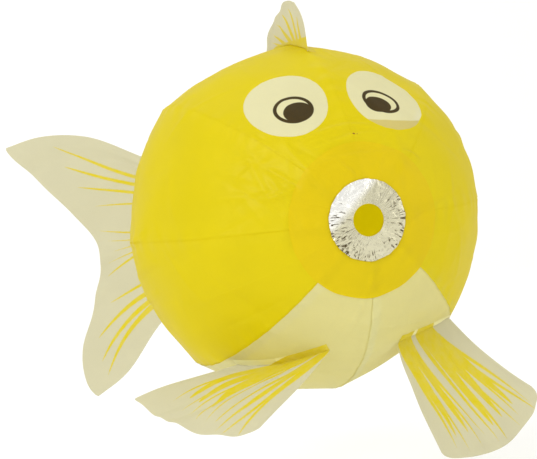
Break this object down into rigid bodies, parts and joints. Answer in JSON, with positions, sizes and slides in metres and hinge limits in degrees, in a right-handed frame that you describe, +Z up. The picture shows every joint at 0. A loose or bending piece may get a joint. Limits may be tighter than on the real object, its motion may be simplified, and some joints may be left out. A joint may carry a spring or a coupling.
{
  "type": "fish paper balloon",
  "caption": "Round balloon of thin paper gores in the shape of a fish, with a foil blow-hole patch for a mouth, printed eyes and hinged paper fins.",
  "frame": {"origin": "centre of the round balloon", "axes": "-Y out of the mouth, which is the blow hole; +Z up to the dorsal fin; +X is the fish's left"},
  "size_m": [0.1865, 0.2396, 0.1969],
  "materials": {
    "body_paper": "thin glassine paper printed yellow, slightly shiny, lets light through",
    "belly_paper": "thin unprinted cream glassine paper, lets light through",
    "fin_paper": "thin unprinted cream glassine paper with printed yellow rays, lets light through",
    "foil": "crinkled silver foil on paper"
  },
  "bodies": {
    "balloon": {"gore_upper_left": "body_paper", "gore_top_left": "body_paper", "gore_top_right": "body_paper", "gore_upper_right": "body_paper", "gore_lower_right": "body_paper", "gore_belly_right": "belly_paper", "gore_belly_left": "belly_paper", "gore_lower_left": "body_paper", "mouth_disc": "body_paper", "foil_ring": "foil", "tail_disc": "body_paper", "pectoral_tab_left": "body_paper", "pectoral_tab_right": "body_paper", "dorsal_tab": "body_paper", "tail_tab": "body_paper"},
    "fin_left": {"pectoral_fin_left": "fin_paper"},
    "fin_right": {"pectoral_fin_right": "fin_paper"},
    "fin_top": {"dorsal_fin": "fin_paper"},
    "tail": {"tail_fin": "fin_paper"}
  },
  "joints": [
    {"name": "left_fin_fold", "type": "hinge", "parent": "balloon", "child": "fin_left", "pos_m": [0.03441, -0.04191, -0.05464], "axis": [0.8519, 0.497, 0.165], "range_deg": [-70, 35], "stiffness_Nm_per_rad": 0.001},
    {"name": "right_fin_fold", "type": "hinge", "parent": "balloon", "child": "fin_right", "pos_m": [-0.03198, -0.04395, -0.05445], "axis": [-0.7741, 0.6317, -0.0414], "range_deg": [-80, 30], "stiffness_Nm_per_rad": 0.001},
    {"name": "dorsal_fin_fold", "type": "hinge", "parent": "balloon", "child": "fin_top", "pos_m": [0, 0, 0.0784], "axis": [0, 1, 0], "range_deg": [-60, 60], "stiffness_Nm_per_rad": 0.0001},
    {"name": "tail_fold", "type": "hinge", "parent": "balloon", "child": "tail", "pos_m": [0, 0.0771, 0], "axis": [0, 0, 1], "range_deg": [-125, 28], "stiffness_Nm_per_rad": 0.002}
  ]
}
